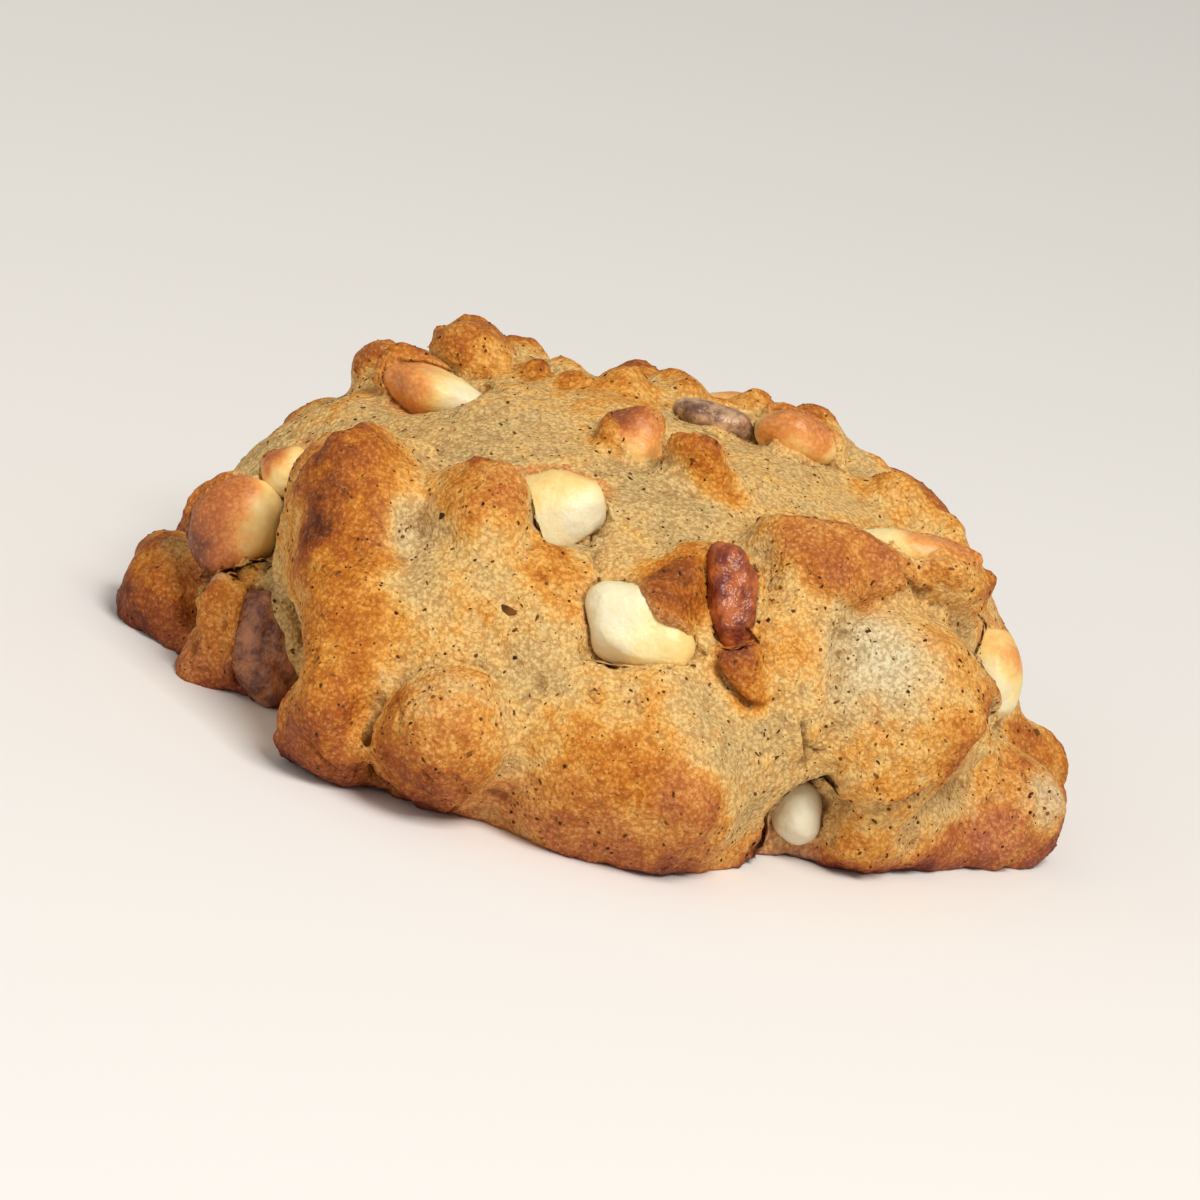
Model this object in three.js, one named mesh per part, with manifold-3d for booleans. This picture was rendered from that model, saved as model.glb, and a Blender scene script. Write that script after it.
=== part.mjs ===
// An earl grey drop cookie: a craggy mound of tea-flecked dough, flat underneath, with white
// chocolate chips and pieces of dried fruit baked into it. Each chip and piece of fruit is its own
// solid, set in a pocket of the dough.
// Millimetres, +Z up. The origin is the middle of the flat underside, and the front faces -Y.

import * as THREE from "three";
import { ImprovedNoise } from "three/addons/math/ImprovedNoise.js";
import { mergeVertices } from "three/addons/utils/BufferGeometryUtils.js";
import Module from "manifold-3d";

const wasm = await Module();
wasm.setup();

// The mound under the lobes: half its length, half its depth, and its height above the level
// where it is widest. A squareness of 2 would be an ellipsoid. A broad nose stands out of its
// front, a fat bar between two places with the given radius.
const CORE_LENGTH = 40;
const CORE_DEPTH = 34;
const CORE_RISE = 24.5;
const WIDEST_AT = 6;
const CORE_SQUARENESS = 2.25;
const CORE_SETBACK = 3;
const NOSE = new THREE.Line3(new THREE.Vector3(-14, -21.5, 8), new THREE.Vector3(3, -23.5, 7));
const NOSE_RADIUS = 15.6;
const NOSE_BLEND = 8;

// How softly two lobes run together, and how softly a furrow's edge rolls over.
const LOBE_BLEND = 1.6;
const FURROW_BLEND = 1.2;

// The slow unevenness of the crust, as wavelength and height.
const CRUST_WAVES = [
  { length: 9, height: 0.8 },
  { length: 4.4, height: 0.5 },
];
const CRUST_SEED = 7.3;

// The cell of the net that finds the skin, the box it fills, the rounds in which its vertices are
// then evened out, and how near the underside a vertex is laid flat on it.
const NET_CELL = 2.3;
const NET_BOX = new THREE.Box3(new THREE.Vector3(-50, -50, -5), new THREE.Vector3(50, 50, 41));
const EVENING_ROUNDS = 5;
const EVENING_STEP = 0.5;
const SLOPE_SPAN = 0.05;
const FLAT_SNAP = 0.6;

// The skin is found down to this level, under the table, and is then cut off at the table.
const SKIN_BOTTOM = -3;

// Chips and fruit: the gap around each in its pocket, how finely it is faceted unless it says
// otherwise, the share of its size by which it is uneven, and how many waves that has.
const POCKET_GAP = 0.3;
const MORSEL_DETAIL = 1;
const UNEVENNESS = { chip: 0.3, fruit: 0.45 };
const LUMP_WAVES = 1.4;

// Lobes, furrows, chips and fruit are placed as they show to someone who looks at the cookie from
// the front or the rear, from this far above the table: millimetres across to +X, and up.
const SIGHT_ANGLE = THREE.MathUtils.degToRad(17);
const SIGHT_REACH = 62;
const SIGHT_STEP = 0.3;
const FRONT = sightLine(1);
const REAR = sightLine(-1);

// A way of looking: the direction of sight, and which way is up across it.
function sightLine(towards) {
  const along = new THREE.Vector3(0, towards * Math.cos(SIGHT_ANGLE), -Math.sin(SIGHT_ANGLE));
  const up = new THREE.Vector3(0, towards * Math.sin(SIGHT_ANGLE), Math.cos(SIGHT_ANGLE));
  return { along, up };
}

function roundedUnion(a, b, blend) {
  const near = Math.max(blend - Math.abs(a - b), 0) / blend;
  return Math.min(a, b) - (near * near * blend) / 4;
}

function roundedCut(a, b, blend) {
  return -roundedUnion(-a, b, blend);
}

// How far outside the bare mound a point lies. Inside it is negative.
function outsideCore(p) {
  const y = p.y - CORE_SETBACK;
  const flat = Math.hypot(p.x / CORE_LENGTH, y / CORE_DEPTH);
  const tall = Math.abs(p.z - WIDEST_AT) / CORE_RISE;
  const share = Math.pow(flat ** CORE_SQUARENESS + tall ** CORE_SQUARENESS, 1 / CORE_SQUARENESS);
  return Math.hypot(p.x, y, p.z - WIDEST_AT) * (1 - 1 / Math.max(share, 1e-6));
}

const onNose = new THREE.Vector3();

function outsideMound(p) {
  const nose = p.distanceTo(NOSE.closestPointToPoint(p, true, onNose)) - NOSE_RADIUS;
  return roundedUnion(outsideCore(p), nose, NOSE_BLEND);
}

// The point of a form that shows at [across, up], taken `sunk` further in along the sight line.
// Past the form's outline it is the place where the sight line passes it most closely.
function seen(outside, side, [across, up, sunk]) {
  const start = side.up.clone().multiplyScalar(up).setX(across);
  const at = (t) => start.clone().addScaledVector(side.along, t);
  let nearest = -SIGHT_REACH;
  let closest = Infinity;
  for (let t = -SIGHT_REACH; t <= SIGHT_REACH && closest > 0; t += SIGHT_STEP) {
    const distance = outside(at(t));
    if (distance < closest) {
      closest = distance;
      nearest = t;
    }
  }
  return at(nearest + sunk);
}

// A rounded bar between two places on a form, which may taper.
function bar(outside, side, from, to, size, endSize) {
  const line = new THREE.Line3(seen(outside, side, from), seen(outside, side, to));
  const onLine = new THREE.Vector3();
  return (p) => {
    const share = line.closestPointToPointParameter(p, true);
    return p.distanceTo(line.at(share, onLine)) - THREE.MathUtils.lerp(size, endSize, share);
  };
}

// Rounded lumps and long lumps of dough on the mound.
function lobe(side, place, size) {
  const centre = seen(outsideMound, side, place);
  return (p) => p.distanceTo(centre) - size;
}

function ridge(side, from, to, size, endSize = size) {
  return bar(outsideMound, side, from, to, size, endSize);
}

const LOBES = [
  // The knob at the left end, the lumps low beside it, and the small upright one between it and
  // the fruit.
  ridge(FRONT, [-41.2, 4.2, -4], [-41, 0.6, -6], 4.2),
  lobe(FRONT, [-38, -1.8, -3], 3.8),
  lobe(FRONT, [-34.6, -3.4, -2], 3.8),
  ridge(FRONT, [-35.9, 4, -2.6], [-34.9, -2, -3.4], 2.3),
  // The tall lobe on the left shoulder, which stands on the table, and the small one beside it.
  ridge(FRONT, [-25.6, 13.6, 2], [-21.6, -3, 2.2], 8, 7.6),
  ridge(FRONT, [-14.4, 16.2, 1.6], [-12.6, 9, 5], 5.2, 4.6),
  // The round ball low in the middle, and the broad nose to its right.
  lobe(FRONT, [-11.8, -3.2, 1.4], 6.8),
  ridge(FRONT, [1, -3, 6], [7, -2.5, 6], 9),
  // Above it, the small wedge beside the fruit strip, the strip's tail and the smooth cheek.
  ridge(FRONT, [3.6, 13.8, 0.8], [6.6, 16.4, 0.4], 2.6, 3.2),
  ridge(FRONT, [11, 10.6, -1], [14.2, 6.8, -0.6], 2, 1.2),
  ridge(FRONT, [15.6, 16, 3.4], [16.4, 7, 5], 7),
  // The two masses of the brown crest, the round pale lobe under it, and its chin.
  ridge(FRONT, [13.4, 20, -1], [22, 20.6, -4], 3.7),
  ridge(FRONT, [22, 20.2, -3.4], [28.8, 20.8, -5.4], 3.2, 3.6),
  lobe(FRONT, [26.6, 9.8, 0.8], 8.6),
  lobe(FRONT, [24.8, 3.4, 3], 7.4),
  // The right end.
  ridge(FRONT, [26, -2, 1], [38, -0.4, -0.4], 4),
  lobe(FRONT, [38.8, 2, 1], 6.6),
  lobe(FRONT, [40.6, 6.6, 3], 4.6),
  // The knobs along the top, from the left, and the uneven rim behind them.
  lobe(FRONT, [-27, 27, 0], 3.3),
  lobe(FRONT, [-20, 29.8, 0], 4.4),
  lobe(FRONT, [-13.6, 31, 0], 1.9),
  lobe(FRONT, [-10.6, 31, 0], 1.9),
  lobe(FRONT, [3.6, 25.4, 0.2], 3),
  lobe(FRONT, [-5.6, 31.5, 0.6], 3),
  lobe(FRONT, [0.4, 32, 2], 3.2),
  lobe(FRONT, [7.4, 32, 1], 3),
  lobe(FRONT, [14, 30, 0], 3),
  lobe(FRONT, [22.6, 27.4, 0], 3.3),
  ridge(FRONT, [26.6, 25.6, 0], [31.4, 21.6, 0], 2.8),

  // The rear, from its left end (+X is left there): two shoulders on the table,
  ridge(REAR, [33.6, 3, 4], [33, -2, 2.6], 5.6),
  lobe(REAR, [22, -2, 2.4], 8),
  // a broad lobe over them, and a brown crest on it,
  lobe(REAR, [23, 8, 3.6], 8.6),
  ridge(REAR, [13, 17.6, 0.6], [21.6, 15.4, 0.6], 3.6, 3.2),
  // a big smooth lobe in the middle, with a small one and a wedge on it,
  ridge(REAR, [6, 5, 3.6], [2, -3, 3], 9, 8),
  lobe(REAR, [7, 14.4, 1.6], 4.8),
  ridge(REAR, [-4, 15, 0.6], [-8, 12.6, 0.8], 3, 2.4),
  // and three lobes towards its right end.
  lobe(REAR, [-12, -4, 1.4], 7),
  ridge(REAR, [-17, 12.6, 3.4], [-20, 4, 3.6], 7.4),
  lobe(REAR, [-29.6, 6.4, 4.4], 6.4),
  lobe(REAR, [-29, -1.6, 1.6], 6),
  lobe(REAR, [-38, -0.4, 0], 5),
  // Knobs on the slope above.
  lobe(REAR, [-11, 18.4, 1.4], 3.2),
  lobe(REAR, [1, 22.4, 1], 3),
  lobe(REAR, [-24.4, 14.4, 1.6], 3),
];

function outsideLobes(p) {
  return LOBES.reduce((d, part) => roundedUnion(d, part(p), LOBE_BLEND), outsideMound(p));
}

// A groove where two lobes meet.
function furrow(side, from, to, size) {
  return bar(outsideLobes, side, from, to, size, size);
}

const FURROWS = [
  furrow(FRONT, [21.6, -9, 0], [21.4, -1.4, 0], 2.4),
  furrow(FRONT, [-20, 16, 0], [-19.6, 11, 0], 1.1),
  furrow(FRONT, [-20, -2, 0], [-17.4, -10, 0], 1.2),
  furrow(FRONT, [-31.4, 2.6, 0.6], [-28.6, -6, 0.6], 2.7),
  furrow(FRONT, [22.4, 17.6, 0], [20.6, 10, 0], 0.8),
  furrow(FRONT, [35.2, 15, 0], [35.2, 5, 0], 2),
  furrow(FRONT, [-38.9, 4, 0], [-38.4, 1, 0], 1.3),
  furrow(REAR, [15, 9, 0], [13, 0, 0], 1.8),
  furrow(REAR, [-7, 10, 0], [-7.6, 1, 0], 1.6),
  furrow(REAR, [-25, 14, 0], [-24.6, 4, 0], 1.6),
  furrow(REAR, [29, 16, 0], [30.6, 6, 0], 1.6),
  furrow(REAR, [-20, 1.6, 0], [-16, -9, 0], 1.6),
];

const noise = new ImprovedNoise();

function crust(p) {
  return CRUST_WAVES.reduce((sum, wave) => {
    const at = p.clone().divideScalar(wave.length);
    return sum + wave.height * noise.noise(at.x, at.y, at.z + CRUST_SEED);
  }, 0);
}

// How far outside the dough a point lies, before its underside is cut. Inside it is negative.
function outsideDough(p) {
  const d = FURROWS.reduce((sum, part) => roundedCut(sum, part(p), FURROW_BLEND), outsideLobes(p));
  return Math.max(d - crust(p), SKIN_BOTTOM - p.z);
}

// A grid's corner [x, y, z] moved along one axis, and the way round a square of the grid.
function stepped(corner, axis, steps) {
  return corner.map((value, i) => (i === axis ? value + steps : value));
}

const AROUND = [[0, 0], [1, 0], [1, 1], [0, 1]];

// The skin as a net. Each cell of a grid that the skin passes through gets one vertex, and the
// four cells around each crossed edge of the grid are joined by two triangles.
function skinNet() {
  const counts = NET_BOX.getSize(new THREE.Vector3()).divideScalar(NET_CELL).ceil().toArray();
  const number = ([x, y, z]) => (z * (counts[1] + 1) + y) * (counts[0] + 1) + x;
  const placeOf = (corner) => new THREE.Vector3(...corner).multiplyScalar(NET_CELL).add(NET_BOX.min);
  const corners = [];
  for (let z = 0; z < counts[2]; z++)
    for (let y = 0; y < counts[1]; y++)
      for (let x = 0; x < counts[0]; x++) corners.push([x, y, z]);

  const outside = new Map(corners.map((at) => [number(at), outsideDough(placeOf(at))]));
  keepFromPinching(corners, outside, number);

  const crossings = new Map();
  const faces = [];
  for (const at of corners) {
    for (let axis = 0; axis < 3; axis++) {
      const start = outside.get(number(at));
      const end = outside.get(number(stepped(at, axis, 1)));
      if (end === undefined || start < 0 === end < 0) continue;
      const crossing = placeOf(stepped(at, axis, start / (start - end)));
      const cells = AROUND.map(([i, j]) =>
        number(stepped(stepped(at, (axis + 1) % 3, -i), (axis + 2) % 3, -j)),
      );
      for (const cell of cells) {
        if (!crossings.has(cell)) crossings.set(cell, []);
        crossings.get(cell).push(crossing);
      }
      const [a, b, c, d] = start < 0 ? cells : cells.reverse();
      faces.push(a, b, c, a, c, d);
    }
  }

  const order = [...crossings.keys()];
  const places = order.flatMap((cell) => {
    const met = crossings.get(cell);
    const sum = met.reduce((total, p) => total.add(p), new THREE.Vector3());
    return sum.divideScalar(met.length).toArray();
  });
  const rank = new Map(order.map((cell, i) => [cell, i]));
  return new THREE.BufferGeometry()
    .setAttribute("position", new THREE.Float32BufferAttribute(places, 3))
    .setIndex(faces.map((cell) => rank.get(cell)));
}

// Where a square of the grid has its corners in, out, in and out, the net would pinch there, so
// the corner nearest the skin changes sides.
function keepFromPinching(corners, outside, number) {
  let pinches = 1;
  while (pinches > 0) {
    pinches = 0;
    for (const at of corners) {
      for (let axis = 0; axis < 3; axis++) {
        const square = AROUND.map(([i, j]) => number(stepped(stepped(at, axis, i), (axis + 1) % 3, j)));
        const values = square.map((corner) => outside.get(corner));
        const alternates = values.every((v, i) => v < 0 !== values[(i + 1) % 4] < 0);
        if (values.includes(undefined) || !alternates) continue;
        const sizes = values.map(Math.abs);
        const nearest = sizes.indexOf(Math.min(...sizes));
        outside.set(square[nearest], -values[nearest]);
        pinches++;
      }
    }
  }
}

// Which vertices share an edge with each vertex.
function neighboursOf(geometry) {
  const around = Array.from({ length: geometry.getAttribute("position").count }, () => new Set());
  const corners = geometry.index.array;
  for (let i = 0; i < corners.length; i += 3) {
    for (let k = 0; k < 3; k++) {
      around[corners[i + k]].add(corners[i + ((k + 1) % 3)]);
      around[corners[i + ((k + 1) % 3)]].add(corners[i + k]);
    }
  }
  return around.map((set) => [...set]);
}

function slopeAt(p) {
  const here = outsideDough(p);
  const rises = [0, 1, 2].map((axis) => {
    const beside = p.clone().setComponent(axis, p.getComponent(axis) + SLOPE_SPAN);
    return (outsideDough(beside) - here) / SLOPE_SPAN;
  });
  return new THREE.Vector3(...rises);
}

function backOntoSkin(p) {
  const slope = slopeAt(p);
  return p.addScaledVector(slope, -outsideDough(p) / Math.max(slope.lengthSq(), 0.3));
}

// Moves the net's vertices along the skin towards the middle of their neighbours.
function evenedOut(geometry) {
  const around = neighboursOf(geometry);
  const places = geometry.getAttribute("position");
  for (let round = 0; round < EVENING_ROUNDS; round++) {
    const old = around.map((_, i) => new THREE.Vector3().fromBufferAttribute(places, i));
    old.forEach((place, i) => {
      const middle = new THREE.Vector3();
      for (const j of around[i]) middle.addScaledVector(old[j], 1 / around[i].length);
      const moved = backOntoSkin(place.clone().lerp(middle, EVENING_STEP));
      if (round === EVENING_ROUNDS - 1 && Math.abs(moved.z) < FLAT_SNAP) moved.z = 0;
      places.setXYZ(i, moved.x, moved.y, moved.z);
    });
  }
  return geometry;
}

function solidOf(geometry) {
  return new wasm.Manifold(
    new wasm.Mesh({
      numProp: 3,
      vertProperties: geometry.getAttribute("position").array,
      triVerts: new Uint32Array(geometry.index.array),
    }),
  );
}

function geometryOf(solid) {
  const mesh = solid.getMesh();
  return new THREE.BufferGeometry()
    .setAttribute("position", new THREE.BufferAttribute(mesh.vertProperties, 3))
    .setIndex(new THREE.BufferAttribute(mesh.triVerts, 1));
}

// Everything below the table, which the underside is cut flat by.
function belowTable() {
  const size = NET_BOX.getSize(new THREE.Vector3());
  const block = new THREE.BoxGeometry(size.x, size.y, size.z).translate(0, 0, -size.z / 2);
  block.deleteAttribute("normal");
  block.deleteAttribute("uv");
  return solidOf(mergeVertices(block));
}

// One chip or piece of fruit: a lump of the given half sizes across, up and out towards the eye,
// turned by `roll` degrees as it is seen, and `grown` by that much.
function morselSolid({ side, place, half, roll, detail, uneven }, grown) {
  const ball = new THREE.IcosahedronGeometry(1, detail);
  ball.deleteAttribute("normal");
  ball.deleteAttribute("uv");
  const lump = mergeVertices(ball, 1e-4);
  const centre = seen(outsideDough, side, place);
  const out = side.along.clone().negate();
  const across = side.up.clone().cross(out);
  const lie = new THREE.Matrix4().makeBasis(across, side.up, out);
  lie.multiply(new THREE.Matrix4().makeRotationZ(THREE.MathUtils.degToRad(roll)));
  lie.setPosition(centre);
  const size = new THREE.Vector3(...half).addScalar(grown);
  const places = lump.getAttribute("position");
  const v = new THREE.Vector3();
  for (let i = 0; i < places.count; i++) {
    v.fromBufferAttribute(places, i);
    const at = v.clone().multiplyScalar(LUMP_WAVES).add(centre);
    v.multiplyScalar(1 + uneven * noise.noise(at.x, at.y, at.z));
    v.multiply(size).applyMatrix4(lie);
    places.setXYZ(i, v.x, v.y, v.z);
  }
  return solidOf(lump);
}

// Each chip and piece of fruit: [across, up, sunk], its half sizes and its roll.
const CHIPS = {
  chip_left: { side: FRONT, place: [-36.4, 9.6, 0.4], half: [3.7, 4.8, 3.6], roll: -16, detail: 2 },
  chip_nib: { side: FRONT, place: [-33.4, 16, 0.4], half: [1.9, 2, 2], roll: 10 },
  chip_top_left: { side: FRONT, place: [-22, 26.6, 0.6], half: [4.6, 2.4, 2.8], roll: -4, detail: 2 },
  chip_crown: { side: FRONT, place: [-8.2, 18.3, 1.2], half: [4.4, 3.7, 3], roll: 18, detail: 2 },
  chip_middle: { side: FRONT, place: [2, 10.2, 1.4], half: [5.2, 3.5, 2.6], roll: -16, detail: 2 },
  chip_foot: { side: FRONT, place: [20.8, -2.4, 0.2], half: [2.1, 3, 2.4], roll: 4 },
  chip_right: { side: FRONT, place: [35.6, 14.6, 1], half: [2.8, 4, 3], roll: 20, detail: 2 },
  chip_behind_crest: { side: FRONT, place: [25.2, 24, 0.8], half: [5.6, 2, 2.6], roll: 3 },
  chip_rim: { side: FRONT, place: [12, 31.4, 0.6], half: [3.8, 2.4, 3], roll: -12 },
  chip_teardrop: { side: FRONT, place: [-2.8, 26.6, 0.4], half: [2.5, 3.2, 2.6], roll: 28, detail: 2 },
  chip_rear_left: { side: REAR, place: [30.6, 8, 0.4], half: [3.8, 3, 2.8], roll: 30 },
  chip_rear_high: { side: REAR, place: [6, 19.4, 0.6], half: [4.2, 2.6, 2.8], roll: -10 },
  chip_rear_middle: { side: REAR, place: [-1.6, 9.6, 0.8], half: [4, 3.2, 2.6], roll: 24 },
  chip_rear_foot: { side: REAR, place: [11.6, -3, 0.4], half: [2.8, 3, 2.6], roll: 0 },
  chip_rear_right: { side: REAR, place: [-25, 9.4, 0.6], half: [3.4, 2.6, 2.6], roll: -30 },
  chip_rear_end: { side: REAR, place: [-36, 4.6, 0.8], half: [3, 3.2, 2.8], roll: 0 },
};

const FRUIT = {
  fruit_strip: { side: FRONT, place: [9.8, 14.8, -1], half: [2.1, 5.2, 2.2], roll: 20, detail: 2 },
  fruit_left: { side: FRONT, place: [-30.6, 0, 0.4], half: [3.2, 5, 2.4], roll: 26, detail: 2 },
  fruit_rim: { side: FRONT, place: [4.2, 31.1, 0.2], half: [3.8, 1.2, 1.8], roll: -4 },
  fruit_rear_wedge: { side: REAR, place: [13.6, 10.6, -0.2], half: [2.2, 4.6, 2.2], roll: -32 },
  fruit_rear_low: { side: REAR, place: [-19, -2.6, 0.6], half: [4.4, 2.4, 2.2], roll: 12 },
  fruit_rear_high: { side: REAR, place: [-10.4, 13.6, 0.4], half: [4.4, 1.8, 2.2], roll: 8 },
};

const LOOKS = {
  dough: new THREE.MeshStandardMaterial({ color: 0xc8a468, roughness: 0.8, metalness: 0 }),
  chip: new THREE.MeshStandardMaterial({ color: 0xf0e4bd, roughness: 0.5, metalness: 0 }),
  fruit: new THREE.MeshStandardMaterial({ color: 0x6b2c17, roughness: 0.4, metalness: 0 }),
};

const cookie = new THREE.Group();

function addPiece(name, solid, look) {
  const piece = new THREE.Mesh(geometryOf(solid), look);
  piece.name = name;
  cookie.add(piece);
}

let dough = solidOf(evenedOut(skinNet())).subtract(belowTable());
for (const [kind, pieces] of [["chip", CHIPS], ["fruit", FRUIT]]) {
  for (const [name, given] of Object.entries(pieces)) {
    const morsel = { detail: MORSEL_DETAIL, uneven: UNEVENNESS[kind], ...given };
    addPiece(name, morselSolid(morsel, 0), LOOKS[kind]);
    dough = dough.subtract(morselSolid(morsel, POCKET_GAP));
  }
}
addPiece("dough", dough, LOOKS.dough);

export default cookie;
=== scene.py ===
"""An earl grey drop cookie: craggy, browned dough with tea flecks, white chocolate chips and fruit.

The CAD dough and its chips are copied, softened and remeshed finely. Edges, lumps, creases and
pits are then worked into the dough at places given as they show from the front, in millimetres
across and up, and the dough is opened over each chip. How browned, red or floury the crust is,
and how much shade is painted into its creases, goes into attributes that the finishes read.
"""

import math
import random

import bmesh
import bpy
import numpy as np
from mathutils import Matrix, Vector, noise
from mathutils.bvhtree import BVHTree


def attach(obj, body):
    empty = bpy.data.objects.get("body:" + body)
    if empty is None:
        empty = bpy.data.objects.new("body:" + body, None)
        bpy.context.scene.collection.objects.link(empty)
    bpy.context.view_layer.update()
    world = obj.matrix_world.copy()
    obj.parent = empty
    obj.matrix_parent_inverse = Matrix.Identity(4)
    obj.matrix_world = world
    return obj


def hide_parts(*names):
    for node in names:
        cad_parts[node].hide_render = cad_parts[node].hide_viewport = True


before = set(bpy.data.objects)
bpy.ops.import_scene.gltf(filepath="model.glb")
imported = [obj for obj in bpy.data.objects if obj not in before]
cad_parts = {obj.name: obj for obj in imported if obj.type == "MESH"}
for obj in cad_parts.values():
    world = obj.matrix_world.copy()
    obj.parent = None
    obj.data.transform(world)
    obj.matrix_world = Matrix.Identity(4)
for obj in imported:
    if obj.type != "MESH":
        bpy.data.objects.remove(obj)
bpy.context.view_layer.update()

MM = 0.001

# The camera, as the cookie lies in the picture: from this far above the table, turned this much,
# with this much of the table in view across the middle of the frame.
SIGHT_ELEVATION = math.radians(17)
CAMERA_ROLL = math.radians(15)
CAMERA_DISTANCE = 800 * MM
FRAME_ACROSS = 114 * MM
AIM_ACROSS = -1.9 * MM
AIM_UP = 11.8 * MM

# How finely the dough is remeshed, before its edges and lumps are worked in and after.
BODY_VOXEL = 0.5 * MM
DOUGH_VOXEL = 0.4 * MM
FACET_SMOOTHING = 12
DOUGH_SMOOTHING = 4

# In mm: how far the dough's skin passes over the face of a chip at first, how thick its lip then
# is round the opening, how far under the chip's face it goes in the opening, and up to which
# height over the chip it is pushed in. How steep the wall is, and the share of a chip that shows
# where no opening is given for it. A face turned further from the sight line than GRAZING, as the
# cosine, counts as the chip's flank.
FILLING_COVER = 0.4
LIP = 0.3
OPENING_SUNK = 0.6
OPENING_REACH = {
    "fruit_left": 6.0,
    "chip_left": 5.0,
    "chip_right": 4.0,
    "chip_foot": 5.0,
    "chip_behind_crest": 1.6,
}
USUAL_REACH = 3.0
WALL_SLOPE = 2.4
SHOWN_SHARE = 0.8
GRAZING = 0.12

# In mm: how far a chip may stand over the dough round it before it is flattened, and to what share
# of its height over that. How far beyond a chip the dough takes its colour.
PROUD = 1.0
FLATTENED = 0.65
COLOR_SPREAD = 1.6

# The share of the underside's faces that is kept, since it is flat, and how many triangles the
# dough has in all.
BASE_KEPT = 0.12
DOUGH_TRIANGLES = 196_000

# Rounds of smoothing that leave the dough's form under its chips, and under its lobes. By what
# share of their rise over that the lobes stand out more, within limits in mm.
CALM_ROUNDS = 120
LOBE_ROUNDS = 220
RELIEF_GAIN = 0.45
RELIEF_LIMITS = (-2.0, 1.6)

# In mm: the size and height of the swells behind and at the ends, and how deep the creases between
# them are.
SWELL_SIZE = 10.0
SWELL_RISE = 2.6
SWELL_CREASE = 0.6


class Sight:
    """The way the camera looks at the cookie, with the table level across the picture."""

    REACH = 80 * MM

    def __init__(self, elevation):
        self.right = Vector((1, 0, 0))
        self.along = Vector((0, math.cos(elevation), -math.sin(elevation)))
        self.up = self.right.cross(self.along)

    def seen(self, tree, across, up, sunk=0.0):
        """The point of a form that shows there, or where the line passes it most closely."""
        start = (self.right * across + self.up * up) * MM - self.along * self.REACH
        point = tree.ray_cast(start, self.along)[0]
        if point is None:
            steps = (start + self.along * (t * MM) for t in range(0, 160, 2))
            point = min((tree.find_nearest(p) for p in steps), key=lambda hit: hit[3])[0]
        return point + self.along * (sunk * MM)

    def flat(self, places):
        """Where places show, across and up, in mm."""
        return np.stack([places @ np.array(self.right), places @ np.array(self.up)], 1) / MM


FRONT = Sight(SIGHT_ELEVATION)


# ---- meshes


def in_scene(name, data):
    """A new object of the scene that holds a mesh, a lamp or a camera."""
    made = bpy.data.objects.new(name, data)
    bpy.context.scene.collection.objects.link(made)
    return made


def merged_copy(node, name):
    """A new object with a merged copy of a CAD node's mesh."""
    bm = bmesh.new()
    bm.from_mesh(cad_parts[node].data)
    bmesh.ops.remove_doubles(bm, verts=bm.verts, dist=1e-6)
    return object_of(bm, name)


def object_of(bm, name):
    mesh = bpy.data.meshes.new(name)
    bm.to_mesh(mesh)
    bm.free()
    return in_scene(name, mesh)


def with_modifier(piece, kind, **settings):
    """Adds a modifier with these settings, and applies it."""
    modifier = piece.modifiers.new(kind.lower(), kind)
    for key, value in settings.items():
        setattr(modifier, key, value)
    evaluated = piece.evaluated_get(bpy.context.evaluated_depsgraph_get())
    finished = bpy.data.meshes.new_from_object(evaluated)
    piece.modifiers.clear()
    old = piece.data
    piece.data = finished
    bpy.data.meshes.remove(old)
    return piece


def removed(piece):
    mesh = piece.data
    bpy.data.objects.remove(piece)
    bpy.data.meshes.remove(mesh)


def joined(pieces, name):
    """One object with the meshes of all the pieces, which are removed."""
    bm = bmesh.new()
    for piece in pieces:
        bm.from_mesh(piece.data)
        removed(piece)
    return object_of(bm, name)


def places_of(mesh):
    flat = np.empty(len(mesh.vertices) * 3)
    mesh.vertices.foreach_get("co", flat)
    return flat.reshape(-1, 3)


def normals_of(mesh):
    flat = np.empty(len(mesh.vertices) * 3)
    mesh.vertex_normals.foreach_get("vector", flat)
    return flat.reshape(-1, 3)


def put_places(mesh, places):
    mesh.vertices.foreach_set("co", places.ravel())
    mesh.update()


def put_attribute(mesh, name, values):
    """Gives the vertices an attribute, from an array or from one number for all."""
    layer = mesh.attributes.new(name, "FLOAT", "POINT")
    layer.data.foreach_set("value", np.full(len(mesh.vertices), values, np.float32))


def attribute_of(mesh, name):
    values = np.zeros(len(mesh.vertices))
    mesh.attributes[name].data.foreach_get("value", values)
    return values


def tree_of(piece):
    bm = bmesh.new()
    bm.from_mesh(piece.data)
    tree = BVHTree.FromBMesh(bm)
    bm.free()
    return tree


def grown(piece, amount):
    """Moves every vertex out by that many mm."""
    mesh = piece.data
    put_places(mesh, places_of(mesh) + normals_of(mesh) * amount * MM)
    return piece


def copy_of(piece):
    return in_scene(piece.name + "_copy", piece.data.copy())


def smoothed(piece, rounds):
    return with_modifier(piece, "SMOOTH", factor=0.5, iterations=rounds)


def rise_over(piece, rounds):
    """How far each vertex stands out of the smoothed form, in mm."""
    soft = smoothed(copy_of(piece), rounds)
    risen = places_of(piece.data) - places_of(soft.data)
    removed(soft)
    return np.einsum("ij,ij->i", risen, normals_of(piece.data)) / MM


# ---- sums


def ramp(x, low, high):
    """0 below low, 1 above high, and smooth between."""
    t = np.clip((x - low) / (high - low), 0, 1)
    return t * t * (3 - 2 * t)


def bell(x):
    return np.exp(-(x**2))


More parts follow.
